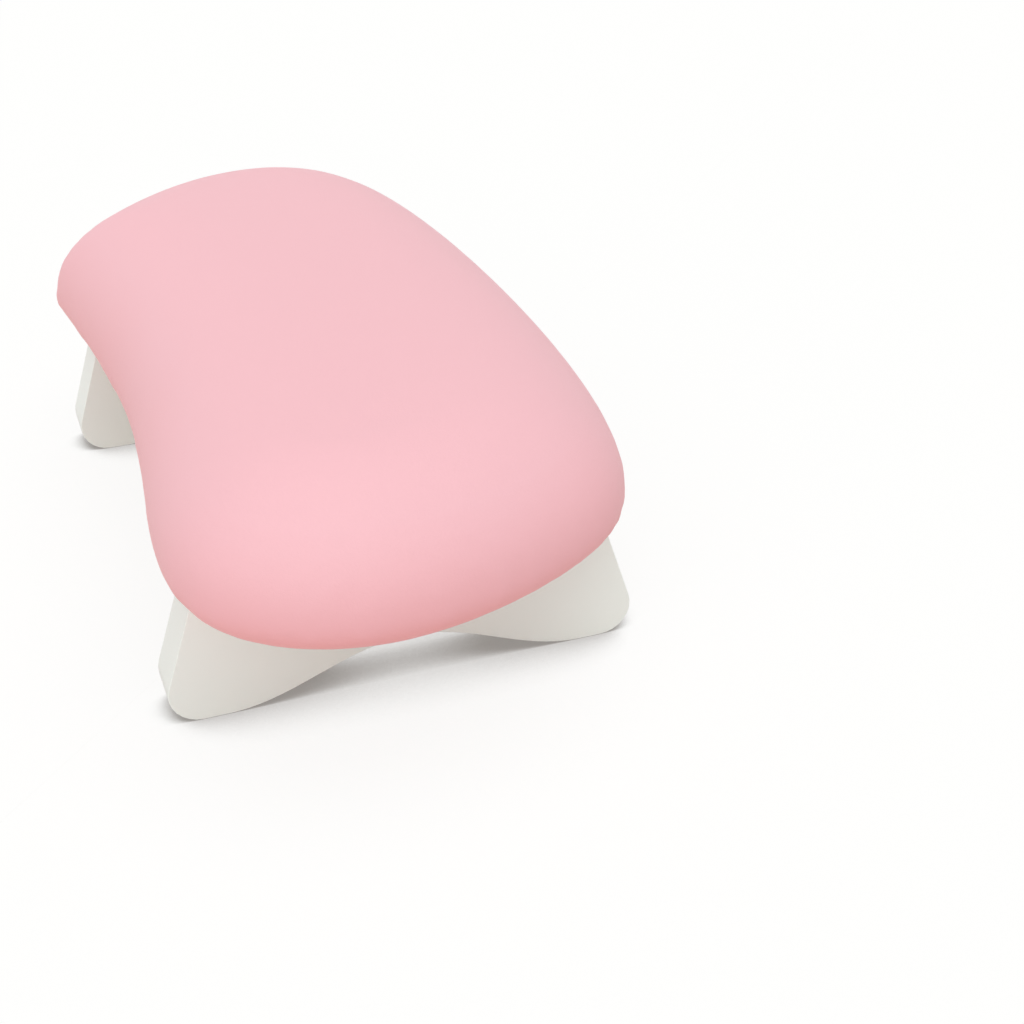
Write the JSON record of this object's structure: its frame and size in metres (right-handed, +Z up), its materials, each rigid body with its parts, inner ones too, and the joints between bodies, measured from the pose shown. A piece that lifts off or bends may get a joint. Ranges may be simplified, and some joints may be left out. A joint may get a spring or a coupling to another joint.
{
  "type": "manicure hand rest",
  "caption": "Padded manicure hand rest: a soft, gently waisted pad on splayed white leg panels with arched feet.",
  "frame": {"origin": "on the table, under the middle of the rest's overall outline", "axes": "+X across the rest, +Y along it towards the far end, +Z up"},
  "size_m": [0.1452, 0.3, 0.0905],
  "materials": {
    "pink_cover": "smooth satin synthetic leather",
    "cream_foam": "open-cell foam",
    "board_wood": "sanded plywood",
    "white_lacquer": "satin off-white lacquer",
    "zinc_steel": "zinc plated"
  },
  "bodies": {
    "root": {"pad_cover": "pink_cover", "foam_core": "cream_foam", "base_board": "board_wood", "front_leg_panel": "white_lacquer", "rear_leg_panel": "white_lacquer", "front_leg_screw_left": "zinc_steel", "front_leg_screw_right": "zinc_steel", "rear_leg_screw_left": "zinc_steel", "rear_leg_screw_right": "zinc_steel", "cover_staple_01": "zinc_steel", "cover_staple_02": "zinc_steel", "cover_staple_03": "zinc_steel", "cover_staple_04": "zinc_steel", "cover_staple_05": "zinc_steel", "cover_staple_06": "zinc_steel", "cover_staple_07": "zinc_steel", "cover_staple_08": "zinc_steel", "cover_staple_09": "zinc_steel", "cover_staple_10": "zinc_steel", "cover_staple_11": "zinc_steel", "cover_staple_12": "zinc_steel", "cover_staple_13": "zinc_steel", "cover_staple_14": "zinc_steel", "cover_staple_15": "zinc_steel", "cover_staple_16": "zinc_steel", "cover_staple_17": "zinc_steel", "cover_staple_18": "zinc_steel", "cover_staple_19": "zinc_steel", "cover_staple_20": "zinc_steel", "cover_staple_21": "zinc_steel"}
  },
  "joints": []
}
